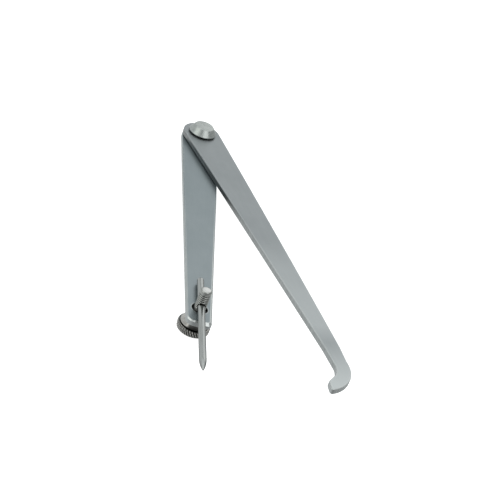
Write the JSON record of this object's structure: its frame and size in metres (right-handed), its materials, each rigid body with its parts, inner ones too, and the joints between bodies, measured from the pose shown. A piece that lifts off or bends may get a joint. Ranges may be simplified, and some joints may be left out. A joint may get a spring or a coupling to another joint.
{
  "type": "odd-leg caliper",
  "caption": "Flat steel odd-leg caliper: two tapered legs on a riveted friction pivot, one ending in a hooked foot, the other clamping a sliding scriber with a knurled nut.",
  "frame": {"origin": "centre of the flat face on the rivet's head, on the pivot axis", "axes": "+Z along the pivot axis, out of the front of the tool; -Y along the scriber leg towards its tip; the hook leg opens towards +X"},
  "size_m": [0.0576, 0.158, 0.016],
  "materials": {
    "leg_steel": "satin",
    "turned_steel": "turned bright",
    "stud_steel": "threaded, zinc bright",
    "nut_steel": "turned, darker, knurled rim",
    "scriber_steel": "ground bright",
    "fibre": "matt vulcanised fibre"
  },
  "bodies": {
    "scriber_leg": {"scriber_leg": "leg_steel", "joint_rivet": "turned_steel", "rivet_front_washer": "fibre", "rivet_rear_burr": "turned_steel"},
    "hook_leg": {"hook_leg": "leg_steel"},
    "clamp_stud": {"clamp_stud": "stud_steel"},
    "scriber": {"scriber": "scriber_steel"},
    "nut_washer": {"nut_washer": "turned_steel"},
    "knurled_nut": {"knurled_nut": "nut_steel"}
  },
  "joints": [
    {"name": "leg_pivot", "type": "hinge", "parent": "scriber_leg", "child": "hook_leg", "pos_m": [0, 0, 0], "axis": [0, 0, 1], "range_deg": [-12.5, 160]},
    {"name": "scriber_swivel", "type": "hinge", "parent": "scriber_leg", "child": "clamp_stud", "pos_m": [0, -0.116, -0.00388], "axis": [0, 0, 1], "range_deg": [-10, 10]},
    {"name": "scriber_slide", "type": "slide", "parent": "clamp_stud", "child": "scriber", "axis": [0.0192, -0.9998, 0], "range_m": [-0.014, 0.008]},
    {"name": "nut_travel", "type": "slide", "parent": "scriber_leg", "child": "nut_washer", "axis": [0, 0, -1], "range_m": [0, 0.0014]},
    {"name": "nut_spin", "type": "hinge", "parent": "nut_washer", "child": "knurled_nut", "pos_m": [0, -0.116, -0.011], "axis": [0, 0, -1], "range_deg": [0, 721]}
  ],
  "couplings": [
    {"joint": "nut_spin", "follows": "nut_travel", "rad_per_m": 8976}
  ]
}
